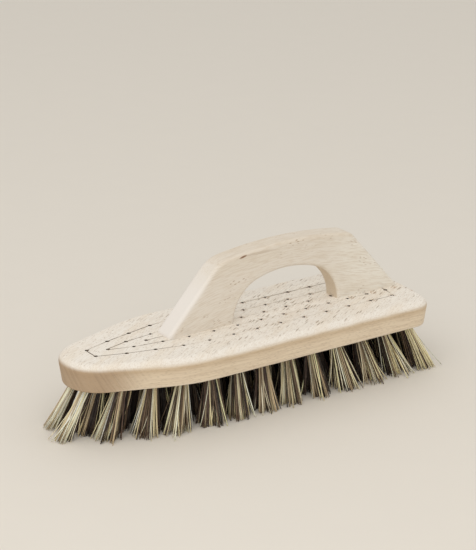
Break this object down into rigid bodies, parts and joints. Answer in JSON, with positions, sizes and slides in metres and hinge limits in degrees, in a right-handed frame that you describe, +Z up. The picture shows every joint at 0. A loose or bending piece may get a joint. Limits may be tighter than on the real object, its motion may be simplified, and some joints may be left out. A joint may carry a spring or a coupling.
{
  "type": "scrub brush",
  "caption": "Wooden hand scrub brush: a tapered flat block set with flared tufts of plant fibre drawn in by wire, under an arched bridge handle with a finger opening.",
  "frame": {"origin": "on the flat scrubbing face at the bottom, under the middle of the brush", "axes": "+X along the brush towards its broad rear end, the tapered nose at -X; +Y across it; +Z up through the block to the handle"},
  "size_m": [0.2748, 0.0858, 0.0996],
  "materials": {
    "beech": "bare sanded beech",
    "plant_fibre": "mixed straw, tan and dark brown stiff plant fibre",
    "drawing_wire": "dull dark drawn steel wire",
    "screw_steel": "plain turned steel"
  },
  "bodies": {
    "root": {"brush_block": "beech", "bridge_handle": "beech", "handle_screws": "screw_steel", "outer_wire": "drawing_wire", "inner_wire": "drawing_wire", "centre_wire": "drawing_wire", "outer_tuft_01": "plant_fibre", "outer_tuft_02": "plant_fibre", "outer_tuft_03": "plant_fibre", "outer_tuft_04": "plant_fibre", "outer_tuft_05": "plant_fibre", "outer_tuft_06": "plant_fibre", "outer_tuft_07": "plant_fibre", "outer_tuft_08": "plant_fibre", "outer_tuft_09": "plant_fibre", "outer_tuft_10": "plant_fibre", "outer_tuft_11": "plant_fibre", "outer_tuft_12": "plant_fibre", "outer_tuft_13": "plant_fibre", "outer_tuft_14": "plant_fibre", "outer_tuft_15": "plant_fibre", "outer_tuft_16": "plant_fibre", "outer_tuft_17": "plant_fibre", "outer_tuft_18": "plant_fibre", "outer_tuft_19": "plant_fibre", "outer_tuft_20": "plant_fibre", "outer_tuft_21": "plant_fibre", "outer_tuft_22": "plant_fibre", "outer_tuft_23": "plant_fibre", "outer_tuft_24": "plant_fibre", "outer_tuft_25": "plant_fibre", "outer_tuft_26": "plant_fibre", "outer_tuft_27": "plant_fibre", "outer_tuft_28": "plant_fibre", "outer_tuft_29": "plant_fibre", "inner_tuft_01": "plant_fibre", "inner_tuft_02": "plant_fibre", "inner_tuft_03": "plant_fibre", "inner_tuft_04": "plant_fibre", "inner_tuft_05": "plant_fibre", "inner_tuft_06": "plant_fibre", "inner_tuft_07": "plant_fibre", "inner_tuft_08": "plant_fibre", "inner_tuft_09": "plant_fibre", "inner_tuft_10": "plant_fibre", "inner_tuft_11": "plant_fibre", "inner_tuft_12": "plant_fibre", "inner_tuft_13": "plant_fibre", "inner_tuft_14": "plant_fibre", "inner_tuft_15": "plant_fibre", "inner_tuft_16": "plant_fibre", "inner_tuft_17": "plant_fibre", "inner_tuft_18": "plant_fibre", "inner_tuft_19": "plant_fibre", "inner_tuft_20": "plant_fibre", "inner_tuft_21": "plant_fibre", "inner_tuft_22": "plant_fibre", "inner_tuft_23": "plant_fibre", "inner_tuft_24": "plant_fibre", "centre_tufts": "plant_fibre"}
  },
  "joints": []
}
